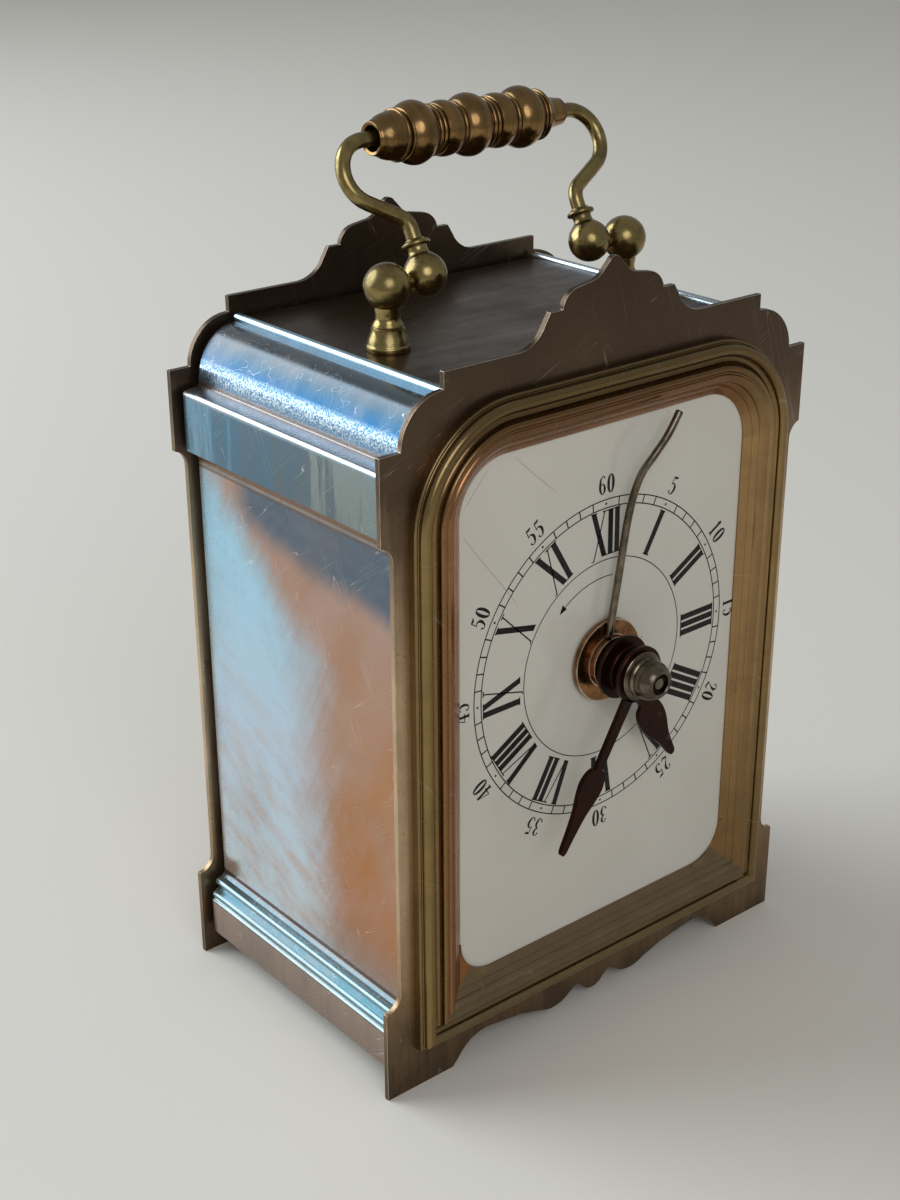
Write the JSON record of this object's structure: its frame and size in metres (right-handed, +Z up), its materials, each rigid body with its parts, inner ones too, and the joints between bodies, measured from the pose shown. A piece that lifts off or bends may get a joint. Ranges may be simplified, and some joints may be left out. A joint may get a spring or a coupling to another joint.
{
  "type": "travel alarm clock",
  "caption": "Small travel alarm clock: scalloped brass plates, nickelled sides, white enamel dial, bent alarm pointer and folding turned handle.",
  "frame": {"origin": "on the table, under the middle of the case: midway between the faces of the two plates", "axes": "+Z up, the dial faces -Y, +X to the right of someone reading the dial"},
  "size_m": [0.08, 0.0715, 0.133],
  "materials": {
    "case_brass": "tarnished brass, once nickelled",
    "nickel": "worn nickel plating",
    "roof_metal": "dull worn nickel over brass",
    "bezel_brass": "aged gilt brass",
    "enamel": "vitreous enamel, glossy white",
    "copper": "copper",
    "steel": "blued steel",
    "bright_steel": "polished steel",
    "handle_brass": "aged brass",
    "grip_brass": "polished turned brass",
    "gilt": "worn coppery gilt",
    "hand_steel": "browned steel",
    "movement_brass": "clean brass",
    "key_brass": "handled brass",
    "bell_metal": "nickelled bell metal"
  },
  "bodies": {
    "case": {"front_plate": "case_brass", "rear_plate": "case_brass", "side_left": "nickel", "side_right": "nickel", "roof": "roof_metal", "floor_plate": "roof_metal", "bezel": "bezel_brass", "dial": "enamel", "dial_feet": "copper", "tie_rods": "key_brass", "rod_nuts": "key_brass", "rear_screws": "steel", "posts": "handle_brass", "post_nuts": "handle_brass", "handle_pins": "handle_brass", "movement_front": "movement_brass", "movement_rear": "movement_brass", "pillars": "key_brass", "movement_screws": "steel", "balance_cock": "movement_brass", "clicks": "steel", "bell": "bell_metal", "bell_post": "key_brass"},
    "handle": {"knuckles": "handle_brass", "handle_wire": "handle_brass"},
    "grip": {"grip": "grip_brass"},
    "alarm_setting": {"alarm_disc": "gilt", "alarm_pointer": "gilt", "alarm_wheel": "movement_brass"},
    "alarm_setter": {"alarm_set_arbor": "bright_steel", "alarm_knob": "key_brass"},
    "hour_group": {"hour_hand": "hand_steel", "hour_wheel": "movement_brass"},
    "minute_group": {"minute_hand": "hand_steel", "hand_collet": "handle_brass", "cannon_pinion": "movement_brass", "centre_arbor": "bright_steel", "set_knob": "key_brass"},
    "minute_wheel": {"minute_wheel": "movement_brass"},
    "time_barrel": {"time_barrel": "movement_brass", "time_spring": "steel"},
    "time_winder": {"time_arbor": "bright_steel", "time_ratchet": "key_brass", "time_key": "key_brass"},
    "centre_wheel": {"centre_wheel": "movement_brass"},
    "third_wheel": {"third_wheel": "movement_brass"},
    "fourth_wheel": {"fourth_wheel": "movement_brass"},
    "escape_wheel": {"escape_wheel": "movement_brass"},
    "pallet_lever": {"pallet_lever": "bright_steel"},
    "balance": {"balance": "movement_brass", "hairspring": "steel"},
    "regulator": {"regulator": "bright_steel"},
    "alarm_barrel": {"alarm_barrel": "movement_brass", "alarm_spring": "steel"},
    "alarm_winder": {"alarm_arbor": "bright_steel", "alarm_ratchet": "key_brass", "alarm_key": "key_brass"},
    "strike_wheel": {"strike_wheel": "movement_brass"},
    "hammer": {"hammer": "bright_steel"},
    "stop_lever": {"stop_lever": "bright_steel"}
  },
  "joints": [
    {"name": "handle_fold", "type": "hinge", "parent": "case", "child": "handle", "pos_m": [0, -0.0039, 0.1113], "axis": [1, 0, 0], "range_deg": [-68, 86]},
    {"name": "grip_spin", "type": "hinge", "parent": "handle", "child": "grip", "pos_m": [0, 0.00535, 0.12869], "axis": [1, 0, 0], "continuous": true},
    {"name": "minute_hand_spin", "type": "hinge", "parent": "case", "child": "minute_group", "pos_m": [0, 0, 0.0579], "axis": [0, 1, 0], "continuous": true},
    {"name": "minute_wheel_spin", "type": "hinge", "parent": "case", "child": "minute_wheel", "pos_m": [0.006, 0, 0.04751], "axis": [0, 1, 0], "continuous": true},
    {"name": "hour_hand_spin", "type": "hinge", "parent": "case", "child": "hour_group", "pos_m": [0, 0, 0.0579], "axis": [0, 1, 0], "continuous": true},
    {"name": "alarm_setting_spin", "type": "hinge", "parent": "case", "child": "alarm_setting", "pos_m": [0, 0, 0.0579], "axis": [0, 1, 0], "continuous": true},
    {"name": "alarm_setter_spin", "type": "hinge", "parent": "case", "child": "alarm_setter", "pos_m": [-0.01504, 0, 0.06337], "axis": [0, 1, 0], "continuous": true},
    {"name": "fourth_wheel_spin", "type": "hinge", "parent": "case", "child": "fourth_wheel", "pos_m": [-0.00312, 0, 0.07425], "axis": [0, 1, 0], "continuous": true},
    {"name": "third_wheel_spin", "type": "hinge", "parent": "case", "child": "third_wheel", "pos_m": [0.0063, 0, 0.06881], "axis": [0, 1, 0], "continuous": true},
    {"name": "centre_wheel_spin", "type": "hinge", "parent": "case", "child": "centre_wheel", "pos_m": [0, 0, 0.0579], "axis": [0, 1, 0], "continuous": true},
    {"name": "time_barrel_spin", "type": "hinge", "parent": "case", "child": "time_barrel", "pos_m": [-0.01248, 0, 0.04666], "axis": [0, 1, 0], "continuous": true},
    {"name": "escape_wheel_spin", "type": "hinge", "parent": "case", "child": "escape_wheel", "pos_m": [-0.0123, 0, 0.0762], "axis": [0, 1, 0], "continuous": true},
    {"name": "time_winding", "type": "hinge", "parent": "case", "child": "time_winder", "pos_m": [-0.01248, 0, 0.04666], "axis": [0, 1, 0], "continuous": true},
    {"name": "pallet_lever_rock", "type": "hinge", "parent": "case", "child": "pallet_lever", "pos_m": [-0.01344, 0, 0.0827], "axis": [0, 1, 0], "range_deg": [-4, 4]},
    {"name": "balance_swing", "type": "hinge", "parent": "case", "child": "balance", "pos_m": [-0.02156, 0, 0.08488], "axis": [0, 1, 0], "range_deg": [-150, 150], "stiffness_Nm_per_rad": 0.000002},
    {"name": "regulator_turn", "type": "hinge", "parent": "case", "child": "regulator", "pos_m": [-0.02156, 0, 0.08488], "axis": [0, 1, 0], "range_deg": [-18, 18]},
    {"name": "alarm_barrel_spin", "type": "hinge", "parent": "case", "child": "alarm_barrel", "pos_m": [0.018, 0, 0.0439], "axis": [0, 1, 0], "continuous": true},
    {"name": "strike_wheel_spin", "type": "hinge", "parent": "case", "child": "strike_wheel", "pos_m": [0.02026, 0, 0.05672], "axis": [0, 1, 0], "continuous": true},
    {"name": "alarm_winding", "type": "hinge", "parent": "case", "child": "alarm_winder", "pos_m": [0.018, 0, 0.0439], "axis": [0, 1, 0], "continuous": true},
    {"name": "hammer_swing", "type": "hinge", "parent": "case", "child": "hammer", "pos_m": [0.0245, 0, 0.0674], "axis": [0, 1, 0], "range_deg": [-2.4, 12]},
    {"name": "stop_lever_turn", "type": "hinge", "parent": "case", "child": "stop_lever", "pos_m": [-0.002, 0, 0.0879], "axis": [0, 1, 0], "range_deg": [-18, 18]}
  ],
  "couplings": [
    {"joint": "minute_wheel_spin", "follows": "minute_hand_spin", "ratio": -0.33333},
    {"joint": "hour_hand_spin", "follows": "minute_hand_spin", "ratio": 0.083333},
    {"joint": "alarm_setter_spin", "follows": "alarm_setting_spin", "ratio": -3},
    {"joint": "third_wheel_spin", "follows": "fourth_wheel_spin", "ratio": -0.13333},
    {"joint": "centre_wheel_spin", "follows": "fourth_wheel_spin", "ratio": 0.016667},
    {"joint": "time_barrel_spin", "follows": "fourth_wheel_spin", "ratio": -0.0018519},
    {"joint": "escape_wheel_spin", "follows": "fourth_wheel_spin", "ratio": -8.5714},
    {"joint": "strike_wheel_spin", "follows": "alarm_barrel_spin", "ratio": -6.75}
  ]
}
